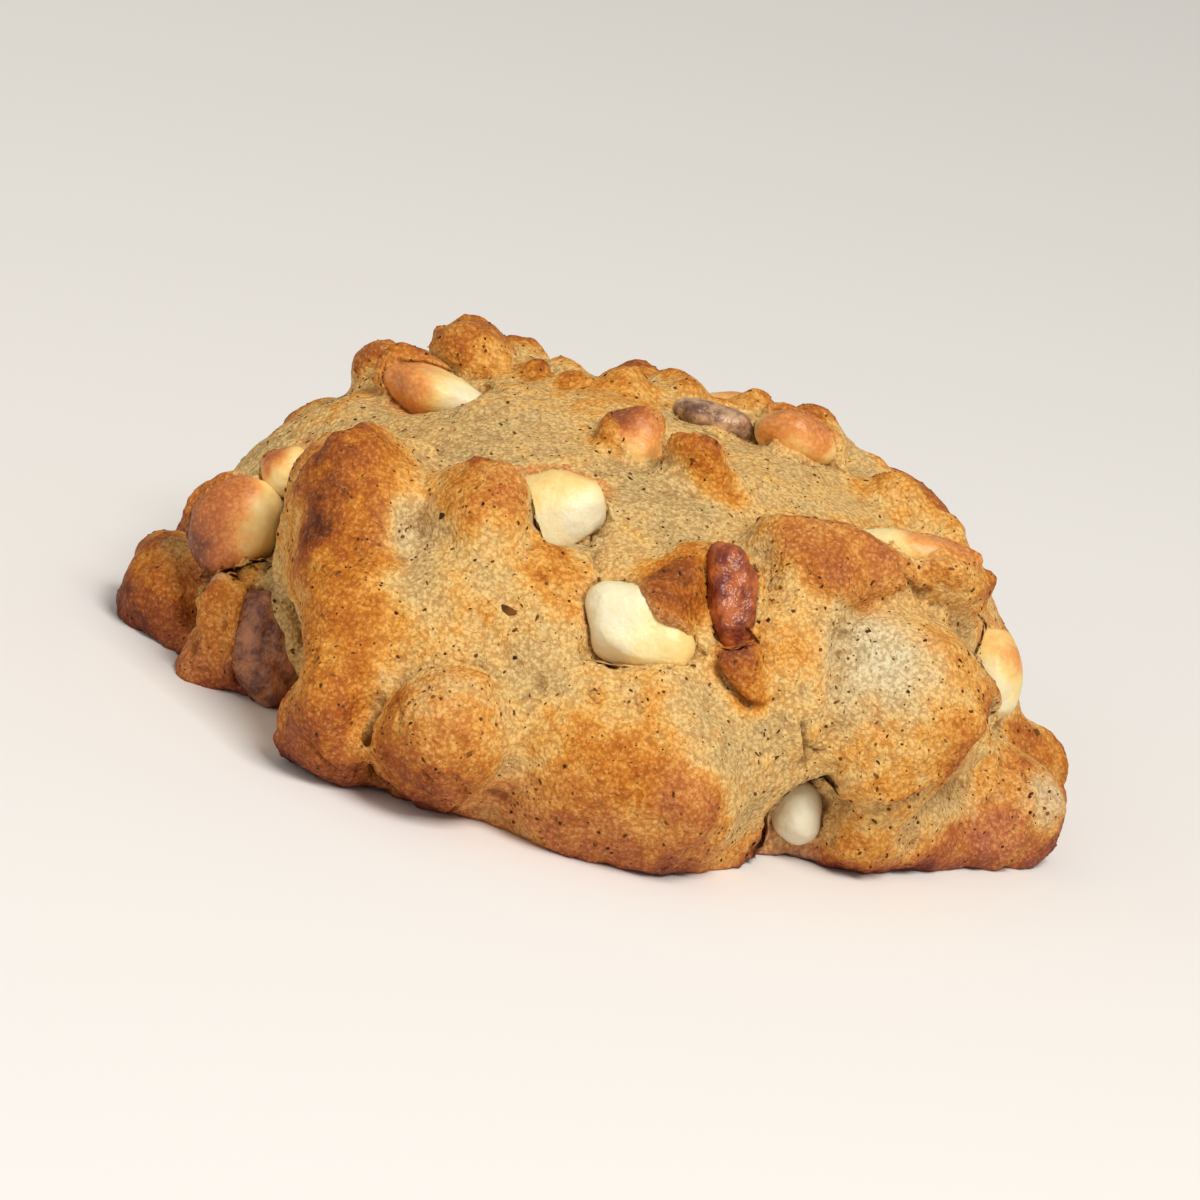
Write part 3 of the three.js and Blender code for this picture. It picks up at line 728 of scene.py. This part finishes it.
# Where the crust is browned: across, up and radius in mm, how browned, and for some how red that
# brown is, both 0 to 1.
CRUST = [
    (-44.2, 4.6, 3.0, 0.72, 0.1), (-42.6, 3.4, 2.6, 0.66), (-43.4, -0.6, 2.6, 0.98, 0.3),
    (-40.6, -1.6, 2.4, 0.92, 0.4), (-36.6, -4.4, 3.2, 0.6, 0.5), (-33.6, -6.0, 2.0, 0.84, 0.5),
    (-35.6, 4.6, 2.0, 0.56, 0.1), (-35.4, 0.6, 2.4, 0.54, 0.2), (-38.6, 2.0, 1.4, 0.75),
    (-28.0, 18.0, 3.0, 0.78, 0.1), (-24.0, 20.0, 2.6, 0.66), (-21.0, 18.0, 2.2, 0.4),
    (-28.2, 14.2, 1.8, 0.8), (-28.6, 11.6, 2.0, 1.0), (-24.4, 12.4, 2.6, 0.74),
    (-31.6, 12.0, 1.6, 0.4), (-30.0, 7.0, 2.6, 0.55), (-26.0, 7.0, 3.0, 0.58),
    (-22.4, 4.0, 3.4, 0.66), (-25.6, 0.0, 3.0, 0.58), (-21.6, -2.6, 3.0, 0.66, 0.1),
    (-24.4, -6.0, 3.0, 0.75, 0.3), (-22.0, -9.4, 2.4, 0.84, 0.5), (-19.8, 13.4, 2.4, 0.0),
    (-18.4, 8.6, 2.6, 0.16), (-13.6, 19.4, 2.4, 0.56, 0.3), (-16.4, 18.6, 1.8, 0.5),
    (-13.0, 15.0, 2.6, 0.36), (-12.6, 11.6, 2.4, 0.18), (-6.4, 13.8, 2.6, 0.6),
    (-4.0, 10.8, 1.6, 0.5), (-9.0, 8.0, 3.0, 0.3), (-14.4, 5.4, 3.0, 0.36),
    (-11.4, 1.2, 2.4, 0.3, 0.1), (-13.4, -0.6, 2.6, 0.42, 0.3), (-9.4, -2.6, 2.6, 0.38, 0.1),
    (-13.0, -4.6, 2.6, 0.5, 0.3), (-15.6, -7.4, 2.4, 0.78, 0.3), (-12.0, -8.4, 2.2, 0.72, 0.3),
    (-17.6, -3.0, 1.4, 0.7, 0.2), (-5.0, 3.8, 2.6, 0.1), (-4.0, -1.4, 2.4, 0.36),
    (-6.6, -7.6, 2.6, 0.5, 0.5), (-4.0, -10.2, 3.4, 0.36, 0.7), (3.0, -9.6, 3.4, 0.56, 0.6),
    (1.0, -5.4, 2.6, 0.5, 0.2), (4.6, -1.6, 1.8, 0.72), (5.6, -3.8, 1.6, 0.62),
    (10.2, -4.4, 2.6, 0.56, 0.5), (9.6, -8.4, 2.6, 0.62, 0.4), (0.4, -1.6, 1.6, 0.54),
    (4.8, 6.4, 2.6, 0.36), (1.6, 4.0, 2.4, 0.32), (16.0, -3.2, 2.8, 0.1),
    (14.6, -8.0, 2.4, 0.4, 0.1), (5.2, 15.0, 2.8, 0.86), (3.0, 13.6, 1.6, 0.76),
    (6.6, 18.0, 1.4, 0.6), (11.4, 10.6, 1.5, 0.9, 0.7), (12.8, 8.6, 2.0, 0.74, 0.1),
    (14.4, 7.0, 1.4, 0.68), (15.6, 12.0, 3.2, 0.44), (13.6, 16.0, 2.4, 0.3), (17.4, 7.4, 2.6, 0.2),
    (12.0, 3.0, 3.2, 0.0), (15.6, 22.6, 2.4, 0.6, 0.4), (18.6, 20.6, 2.4, 0.72, 0.3),
    (21.8, 21.6, 2.4, 0.64, 0.5), (20.8, 18.8, 1.6, 0.6, 0.1), (28.0, 22.4, 2.4, 0.42, 0.2),
    (31.0, 21.6, 1.8, 0.4), (26.0, 16.8, 2.4, 0.32), (23.6, 13.6, 3.2, 0.04),
    (27.0, 11.6, 2.6, 0.08), (31.6, 15.0, 2.6, 0.36), (32.6, 11.0, 1.8, 0.34),
    (26.6, 5.0, 2.8, 0.4), (30.0, 6.4, 2.4, 0.36), (23.0, 5.6, 2.0, 0.34), (26.4, 0.0, 2.4, 0.24),
    (27.0, -4.2, 2.0, 0.44), (30.4, -4.0, 2.0, 0.4, 0.1), (33.0, 3.0, 2.6, 0.12),
    (35.4, 6.0, 2.4, 0.16), (40.6, 9.0, 2.4, 0.72, 0.2), (39.6, 4.6, 2.0, 0.5, 0.2),
    (40.0, 7.6, 2.0, 0.66, 0.2), (39.4, 0.4, 2.4, 0.7, 1.0), (36.6, -3.0, 2.4, 0.72, 0.6),
    (41.0, -3.0, 2.0, 0.5, 0.4), (43.6, 4.6, 2.2, 0.0, 0.4), (-20.4, 32.2, 2.4, 0.58, 0.1),
    (-18.0, 31.0, 2.0, 0.5), (-27.8, 28.8, 2.6, 0.66), (-13.4, 31.8, 1.8, 0.7),
    (-9.8, 31.8, 1.8, 0.66), (-10.0, 29.6, 2.0, 0.34), (-5.4, 27.4, 1.6, 0.6),
    (3.6, 27.6, 2.4, 0.82), (6.4, 25.4, 1.8, 0.54), (-4.0, 33.2, 3.0, 0.5), (3.0, 34.0, 3.0, 0.46),
    (10.4, 26.6, 3.0, 0.2), (0.0, 22.6, 4.0, 0.04), (-14.0, 25.4, 4.0, 0.14),
    (-25.0, 23.6, 3.0, 0.14), (10.0, 22.0, 2.0, 0.24), (19.0, 28.4, 3.0, 0.34),
    (24.0, 29.0, 3.0, 0.44), (29.4, 26.6, 2.4, 0.4), (34.0, 20.6, 2.6, 0.28),
    (-37.6, 16.4, 2.6, 0.2), (-34.0, 20.0, 2.6, 0.14),
]

# How much these spots count against the crust's own browning, and a chip's against its own.
SPOT_WEIGHT = 6.0
TOAST_WEIGHT = 20.0

# Where the crust is pale and floury: (across, up), radius in mm and how much.
# The second spot, in the dip between the tall lobe and the small lobe, is partly pale dough and
# partly painted light against the shade that falls in that dip.
FLOURY = [((24.6, 13.0), 4.2, 1.3), ((-19.8, 13.0), 2.8, 0.5), ((43.4, 4.8), 2.2, 0.6)]

# How toasted chips are where they show from the front: (across, up), radius and amount, 0 to 1.
# Below them, how grey and how wet the fruit is.
TOAST = {
    "chip_left": [
        ((-40.6, 6.4), 2.6, 1.15), ((-38.6, 5.0), 2.0, 0.95), ((-40.0, 9.6), 2.2, 0.86),
        ((-38.0, 12.4), 2.2, 0.78), ((-37.0, 8.6), 2.0, 0.74), ((-34.2, 11.4), 1.8, 0.3),
        ((-33.8, 14.6), 1.6, 0.34), ((-34.6, 8.6), 1.4, 0.4)],
    "chip_nib": [((-34.8, 17.2), 1.2, 0.85), ((-32.6, 16.8), 1.4, 0.4)],
    "chip_top_left": [
        ((-25.0, 26.8), 2.6, 0.72), ((-22.4, 28.4), 1.8, 0.5), ((-19.6, 27.0), 2.2, 0.08)],
    "chip_crown": [
        ((-10.4, 20.8), 2.0, 0.36), ((-8.0, 21.8), 1.8, 0.42), ((-7.6, 18.0), 2.0, 0.16),
        ((-5.4, 18.4), 2.4, 0.0)],
    "chip_middle": [((-0.6, 11.0), 3.0, 0.04), ((3.6, 9.8), 2.0, 0.26), ((7.0, 9.4), 1.8, 0.4)],
    "chip_foot": [((21.0, -2.4), 4.0, -0.1)],
    "chip_right": [
        ((37.2, 16.6), 1.9, 0.62), ((35.2, 18.0), 1.4, 0.36), ((35.6, 13.2), 2.4, 0.08),
        ((38.2, 14.0), 1.2, 0.3)],
    "chip_behind_crest": [
        ((21.4, 24.6), 1.8, 0.26), ((25.0, 25.4), 2.0, 0.66), ((28.6, 25.6), 2.0, 0.74)],
    "chip_rim": [
        ((10.4, 32.8), 1.8, 0.7), ((13.6, 33.0), 2.2, 0.76), ((16.2, 30.4), 1.4, 0.3),
        ((12.4, 31.0), 1.4, 0.45)],
    "chip_teardrop": [
        ((-4.2, 29.2), 1.3, 0.98), ((-2.6, 28.8), 1.2, 0.8), ((-1.4, 27.0), 1.6, 0.6),
        ((-1.6, 25.8), 1.2, 0.4)],
}
GREY = {"fruit_left": 0.45, "fruit_rim": 1.0, "fruit_strip": 0.0}
WET = {"fruit_left": 1.0}


def warped(places, length, amount):
    """The places, each moved a little, so that what is drawn round a point isn't quite round."""
    shifts = [amount * waves(places, length, seed, 2) for seed in (41, 42, 43)]
    return places + np.stack(shifts, 1) * MM


def spread(places, spots, base, weight):
    """Values given round points, run together with a base value. A spot is point, radius, value."""
    total = base.copy()
    weights = np.ones(len(places))
    for point, radius, value in spots:
        share = weight * bell(distance_to(places, point) / radius)
        total += share * value
        weights += share
    return total / weights


def toast_at(node, spots):
    """How toasted a chip is at each place, 0 to 1."""
    face = places_of(skins[node].data)
    face_tree = tree_of(skins[node])
    rise = (spots - face.mean(0))[:, 2] / MM
    own = 0.25 + 0.45 * ramp(rise, 0.0, 3.0) + 0.2 * waves(spots, 4.0, 51)
    given = [(FRONT.seen(face_tree, *at), *amounts) for at, *amounts in TOAST.get(node, [])]
    return spread(warped(spots, 2.0, 0.5), given, own, TOAST_WEIGHT)


mesh = dough.data
tree = tree_of(dough)
places = places_of(mesh)
normals = normals_of(mesh)

# The dough beside a chip takes its colour.
chip_near = attribute_of(mesh, "chip_near")
edge = np.nonzero(chip_near > -COLOR_SPREAD)[0]
toast = np.zeros(len(places))
chips = [node for node in MORSELS if node.startswith("chip")]
middles = np.array([places_of(skins[node].data).mean(0) for node in chips])
nearest = np.linalg.norm(places[edge][:, None] - middles, axis=2).argmin(1)
for i, node in enumerate(chips):
    own = edge[nearest == i]
    if len(own):
        toast[own] = toast_at(node, places[own])
put_attribute(mesh, "toast", toast)
taken = 0.22 + 0.66 * ramp(toast, 0.1, 0.6)
put_attribute(mesh, "chipped", taken * ramp(chip_near, -COLOR_SPREAD, 0.2))

# What stands out and what lies low browns more.
moved = warped(places, 3.5, 1.3)
broad = rise_over(dough, 500)
fine = rise_over(dough, 14)
low = ramp(-places[:, 2] / MM, -7, 0)
under = ramp(-normals[:, 2], 0.3, 0.9)
bare = 0.2 + 0.5 * ramp(broad, -0.2, 1.8) + 0.3 * low + 0.12 * under + 0.22 * waves(places, 9.0, 8, 2)
baked = [(FRONT.seen(tree, *spot[:2]), *spot[2:]) for spot in CRUST]
browned = spread(moved, [spot[:3] for spot in baked], bare, SPOT_WEIGHT)
browned += 0.1 * waves(places, 3.0, 9, 3)
put_attribute(mesh, "browned", np.clip(browned, 0, 1.2))
own_red = 0.5 * low + 0.2 * ramp(broad, 0, 2)
red = spread(moved, [(*spot[:2], sum(spot[3:])) for spot in baked], own_red, SPOT_WEIGHT)
put_attribute(mesh, "reddened", np.clip(red, 0, 1))
# Painted shade: how much the finish is darkened in creases and dips, by how far the surface lies
# under its finely smoothed form.
put_attribute(mesh, "hollow", ramp(-fine, 0.03, 0.22))
floury = np.zeros(len(places))
for at, radius, most in FLOURY:
    floury += most * bell(distance_to(moved, FRONT.seen(tree, *at)) / radius)
put_attribute(mesh, "floury", floury)


# ---- finishes


class Value:
    """A number that varies over a surface. Its operators add Math nodes to the finish."""

    def __init__(self, finish, socket):
        self.finish = finish
        self.socket = socket

    def _math(self, operation, *values):
        return self.finish.node("Math", {"operation": operation}, dict(enumerate(values)))

    def __add__(self, other):
        return self._math("ADD", self, other)

    __radd__ = __add__

    def __sub__(self, other):
        return self._math("SUBTRACT", self, other)

    def __rsub__(self, other):
        return self._math("SUBTRACT", other, self)

    def __mul__(self, other):
        return self._math("MULTIPLY", self, other)

    __rmul__ = __mul__

    def ramp(self, low, high):
        """0 at low and 1 at high, and smooth between."""
        sockets = {"Value": self, "From Min": low, "From Max": high}
        return self.finish.node("MapRange", {"interpolation_type": "SMOOTHSTEP"}, sockets)


class Finish:
    """A material under construction."""

    def __init__(self, name):
        self.material = bpy.data.materials.new(name)
        self.material.use_nodes = True
        self.tree = self.material.node_tree
        self.shader = self.tree.nodes["Principled BSDF"]
        place = self.node("TexCoord", output="Object")
        self.place = self.node("VectorMath", {"operation": "SCALE"}, {0: place, "Scale": 1 / MM})

    def node(self, kind, settings=None, sockets=None, output=0):
        """Adds a node: its settings are set first, and then its sockets' values or links."""
        made = self.tree.nodes.new("ShaderNode" + kind)
        for key, value in (settings or {}).items():
            if key == "stops":
                stops = made.color_ramp.elements
                while len(stops) < len(value):
                    stops.new(1.0)
                for stop, (at, color) in zip(stops, value):
                    stop.position = at
                    stop.color = (*linear(*color), 1)
            else:
                setattr(made, key, value)
        for key, value in (sockets or {}).items():
            self.feed(made.inputs[key], value)
        return Value(self, made.outputs[output])

    def feed(self, socket, value):
        if isinstance(value, Value):
            self.tree.links.new(value.socket, socket)
        else:
            socket.default_value = value

    def set(self, **sockets):
        """Sets or links the shader's own sockets, named with _ for a space."""
        for key, value in sockets.items():
            self.feed(self.shader.inputs[key.replace("_", " ")], value)

    def attribute(self, name):
        return self.node("Attribute", {"attribute_name": name}, output="Fac")

    def noise(self, length, detail=2.0, roughness=0.5, warp=0.0):
        """Noise of that wavelength in mm, 0 to 1."""
        sockets = {"Vector": self.place, "Scale": 1 / length, "Detail": detail}
        sockets |= {"Roughness": roughness, "Distortion": warp}
        return self.node("TexNoise", {"noise_dimensions": "3D"}, sockets)

    def mix(self, share, a, b, blend="MIX"):
        """Colour a where share is 0 and colour b where it is 1, each given as it shows."""
        made = self.tree.nodes.new("ShaderNodeMix")
        made.data_type = "RGBA"
        made.blend_type = blend
        self.feed(made.inputs[0], share)
        self.feed(made.inputs[6], a if isinstance(a, Value) else (*linear(*a), 1))
        self.feed(made.inputs[7], b if isinstance(b, Value) else (*linear(*b), 1))
        return Value(self, made.outputs[2])

    def color_ramp(self, amount, stops):
        return self.node("ValToRGB", {"stops": stops}, {"Fac": amount}, "Color")

    def pebbles(self):
        """Uneven crumbs: low in their middles and high between them, with finer noise over them."""
        sockets = {"Vector": self.place, "Scale": 1.3 / CRUMB_SIZE, "Detail": 1.0}
        sockets = {0: self.node("TexNoise", {}, sockets, "Color"), 1: [CRUMB_SIZE] * 3, 2: self.place}
        moved = self.node("VectorMath", {"operation": "MULTIPLY_ADD"}, sockets)
        sockets = {"Vector": moved, "Scale": 1 / CRUMB_SIZE}
        crumbs = self.node("TexVoronoi", {}, sockets, "Distance")
        return crumbs * 0.45 + self.noise(0.34, 2.0, 0.6) * 0.55

    def specks(self, cell, radius, share, seed):
        """Round specks: one in some of the cells, which are that many mm across."""
        offset = (seed, seed * 2, seed * 3)
        moved = self.node("VectorMath", {"operation": "ADD"}, {0: self.place, 1: offset})
        sockets = {"Vector": moved, "Scale": 1 / cell, "Randomness": 1.0}
        near = self.node("TexVoronoi", {}, sockets, "Distance")
        draw = self.node("TexVoronoi", {}, sockets, "Color")
        drawn = self.node("SeparateColor", {}, {0: draw}, "Red")
        size = self.node("SeparateColor", {}, {0: draw}, "Green")
        edge = (size * 0.7 + 0.6) * (radius / cell)
        inside = (edge - near).ramp(0.0, 0.3 * radius / cell)
        return inside * (share - drawn).ramp(0.0, 0.02)

    def bump(self, height, depth, below=None):
        """A Bump node of that depth in mm, over another one."""
        sockets = {"Height": height, "Distance": depth * MM}
        if below is not None:
            sockets["Normal"] = below
        return self.node("Bump", {}, sockets)


def linear(red, green, blue):
    """A colour given as it shows, 0 to 255, as the shader takes it."""
    return tuple(
        c / 12.92 if c <= 0.04045 else ((c + 0.055) / 1.055) ** 2.4
        for c in (red / 255, green / 255, blue / 255)
    )


# How the crust and a chip brown as they bake, in colours as they show.
CRUST_COLORS = [
    (0.0, (200, 170, 112)),
    (0.16, (212, 176, 112)),
    (0.3, (228, 184, 108)),
    (0.45, (226, 160, 66)),
    (0.6, (202, 124, 28)),
    (0.75, (172, 92, 14)),
    (0.9, (132, 66, 14)),
    (1.0, (94, 42, 14)),
]
CHIP_COLORS = [
    (0.0, (232, 224, 194)),
    (0.22, (242, 222, 160)),
    (0.4, (242, 204, 124)),
    (0.6, (234, 158, 78)),
    (0.8, (194, 110, 46)),
    (1.0, (128, 62, 30)),
]

# The size of the crumbs in the crust's finish, in mm.
CRUMB_SIZE = 0.45


def dough_finish():
    f = Finish("dough")
    pebble = f.pebbles()
    crumb = f.noise(1.2, 3.0, 0.62, 0.3)
    patch = f.noise(3.0, 2.0, 0.5, 0.6)
    amount = f.attribute("browned") + (patch - 0.5) * 0.36 + (crumb - 0.5) * 0.42
    color = f.color_ramp(amount, CRUST_COLORS)
    rosy = f.mix(f.attribute("browned"), (226, 158, 120), (148, 60, 48))
    color = f.mix(f.attribute("reddened") * (patch * 0.7 + 0.36), color, rosy)
    color = f.mix(f.attribute("floury") * (crumb * 1.1 + 0.15), color, (224, 212, 172))
    chip_color = f.color_ramp(f.attribute("toast"), CHIP_COLORS)
    color = f.mix(f.attribute("chipped") * crumb * 1.6, color, chip_color)
    # Painted shade: creases and dips are darkened.
    color = f.mix(f.attribute("hollow") * 0.6, color, (150, 108, 60), "MULTIPLY")
    # The crumbs' tops are painted paler, partly as pale crumbs and partly as painted highlight, and
    # the gaps between them darker, as painted shade.
    pale = pebble.ramp(0.46, 0.28) * (0.42 - f.attribute("browned") * 0.38)
    color = f.mix(pale, color, (252, 222, 152))
    color = f.mix(pebble.ramp(0.44, 0.62) * 0.5, color, (190, 148, 100), "MULTIPLY")
    dusk = f.noise(0.7, 3.0, 0.65).ramp(0.56, 0.72)
    color = f.mix(dusk * 0.35, color, (126, 74, 28))
    dots = f.specks(0.9, 0.12, 0.6, 3.0)
    color = f.mix(dots * 0.6, color, (96, 56, 24))
    f.set(Base_Color=color, Roughness=0.45 + 0.4 * pebble, Specular_IOR_Level=0.24)
    low = f.bump(crumb, 0.45)
    f.set(Normal=f.bump(1 - pebble, 0.22, low))
    return f.material


def chip_finish():
    f = Finish("chip")
    grain = f.noise(0.5, 2.0, 0.6)
    toast = f.attribute("toast") + (f.noise(1.4, 3.0, 0.6) - 0.5) * 0.24 + (grain - 0.5) * 0.12
    color = f.color_ramp(toast, CHIP_COLORS)
    pebble = f.pebbles()
    crust = f.attribute("toast").ramp(0.3, 0.85)
    color = f.mix(pebble.ramp(0.46, 0.28) * crust * 0.14, color, (252, 214, 144))
    color = f.mix(pebble.ramp(0.44, 0.62) * crust * 0.4, color, (190, 140, 96), "MULTIPLY")
    f.set(Base_Color=color, Roughness=0.5 - 0.12 * grain)
    f.set(Subsurface_Weight=0.2, Subsurface_Scale=1.2 * MM)
    f.set(Normal=f.bump(grain, 0.06, f.bump(f.noise(1.3, 2.0), 0.2)))
    return f.material


def fruit_finish():
    f = Finish("fruit")
    patch = f.noise(1.5, 3.0, 0.6)
    red = f.mix(patch.ramp(0.3, 0.7), (116, 44, 20), (192, 104, 50))
    grey = f.mix(patch.ramp(0.3, 0.7), (106, 70, 52), (208, 166, 122))
    wet = f.attribute("wet")
    color = f.mix(f.attribute("grey"), red, grey)
    color = f.mix(wet * 0.4, color, (170, 130, 110), "MULTIPLY")
    f.set(Base_Color=color, Roughness=0.42 - 0.16 * patch - 0.14 * wet, Specular_IOR_Level=0.45)
    f.set(Normal=f.bump(f.noise(0.5, 2.0, 0.6), 0.12, f.bump(f.noise(1.1, 2.0, 0.6), 0.4)))
    return f.material


def fleck_finish():
    f = Finish("tea_fleck")
    color = f.mix(f.noise(1.7, 1.0).ramp(0.35, 0.65), (66, 40, 20), (128, 80, 36))
    f.set(Base_Color=color, Roughness=0.8, Specular_IOR_Level=0.1)
    return f.material


# ---- pieces


def dressed(piece, slot, finish, *nodes):
    piece.data.materials.clear()
    piece.data.materials.append(finish)
    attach(piece, "root")
    if nodes:
        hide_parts(*nodes)


dressed(dough, "dough", dough_finish(), "dough")

looks = {"chip": chip_finish(), "fruit": fruit_finish()}
for node, skin in skins.items():
    kind = node.split("_")[0]
    if kind == "chip":
        put_attribute(skin.data, "toast", toast_at(node, places_of(skin.data)))
    else:
        put_attribute(skin.data, "grey", GREY.get(node, 0.3))
        put_attribute(skin.data, "wet", WET.get(node, 0.2))
    dressed(skin, kind, looks[kind], node)


# Tea flecks: how many there are, how many are made at a time, their radii in mm, and a few large
# ones, as (across, up) and radius in mm.
FLECKS = 3400
FLECK_BATCH = 80
FLECK_SIZES = (0.08, 0.1, 0.11, 0.13, 0.15, 0.2)
LARGE_FLECKS = [
    ((-9.7, 8.7), 0.55), ((-17.8, 15.5), 0.4), ((41.4, 10.4), 0.42), ((-8.6, 7.2), 0.25),
    ((-9.6, -4.6), 0.3), ((-16.0, 1.4), 0.25), ((10.0, -10.2), 0.25), ((3.4, -9.6), 0.25),
    ((13.4, 14.0), 0.25), ((34.0, 12.0), 0.2),
]


def fleck_at(bm, place, normal, size, draw):
    """A flat, uneven flake of leaf that lies in the crust."""
    lie = normal.to_track_quat("Z", "Y").to_matrix().to_4x4()
    turn = Matrix.Rotation(draw.uniform(0, math.tau), 4, "Z")
    long = draw.choice((1.0, 1.0, 1.0, 1.2, 1.5, 1.9))
    shape = Matrix.Diagonal((size * long * MM, size / math.sqrt(long) * MM, 0.45 * size * MM, 1))
    made = bmesh.ops.create_icosphere(
        bm, subdivisions=1, radius=1.0, matrix=Matrix.Translation(place) @ lie @ turn @ shape
    )
    for v in made["verts"]:
        v.co += Vector([draw.uniform(-0.3, 0.3) * size * MM for _ in range(3)])


def tea_flecks():
    draw = random.Random(7)
    opened = attribute_of(dough.data, "opened")
    free = np.nonzero((opened < -0.1) & (places_of(dough.data)[:, 2] > 0.6 * MM))[0]
    spots = []
    for _ in range(FLECKS):
        v = dough.data.vertices[draw.choice(free)]
        spots.append((v.co.copy(), v.normal.copy(), draw.choice(FLECK_SIZES)))
    for at, size in LARGE_FLECKS:
        point = FRONT.seen(tree, *at)
        spots.append((point, tree.find_nearest(point)[1], size))
    batches = []
    for start in range(0, len(spots), FLECK_BATCH):
        bm = bmesh.new()
        for place, normal, size in spots[start : start + FLECK_BATCH]:
            fleck_at(bm, place, normal, size, draw)
        batches.append(object_of(bm, "flecks"))
    return joined(batches, "tea_flecks")


dressed(tea_flecks(), "dough", fleck_finish())


# ---- floor, light and camera


def light(name, energy, size, place):
    lamp = bpy.data.lights.new(name, "AREA")
    lamp.energy = energy
    lamp.size = size
    holder = in_scene(name, lamp)
    holder.location = place
    toward = Vector((0, 0, 0.015)) - Vector(place)
    holder.rotation_euler = toward.to_track_quat("-Z", "Y").to_euler()


light("key", 8.45, 0.45, (0.3, -0.5, 0.82))
light("fill", 1.6, 0.9, (-0.8, -0.6, 0.5))

bm = bmesh.new()
bmesh.ops.create_grid(bm, x_segments=1, y_segments=1, size=6.0)
floor = object_of(bm, "floor")
paper = Finish("floor")
paper.set(Base_Color=(*linear(236, 231, 224), 1), Roughness=0.9)
floor.data.materials.append(paper.material)

world = bpy.data.worlds.new("room")
world.use_nodes = True
background = world.node_tree.nodes["Background"].inputs
background["Color"].default_value = (1.0, 0.98, 0.95, 1)
background["Strength"].default_value = 0.38
scene = bpy.context.scene
scene.world = world
scene.view_settings.view_transform = "Standard"

camera = in_scene("camera", bpy.data.cameras.new("camera"))
camera.data.sensor_width = 36
camera.data.lens = 36 * CAMERA_DISTANCE / FRAME_ACROSS
camera.data.clip_start = 0.05
aim = FRONT.right * AIM_ACROSS + FRONT.up * AIM_UP
turned = Matrix.Rotation(-CAMERA_ROLL, 3, FRONT.along)
right = turned @ FRONT.right
up = turned @ FRONT.up
pose = Matrix((right, up, -FRONT.along)).transposed().to_4x4()
pose.translation = aim - FRONT.along * CAMERA_DISTANCE
camera.matrix_world = pose
scene.camera = camera
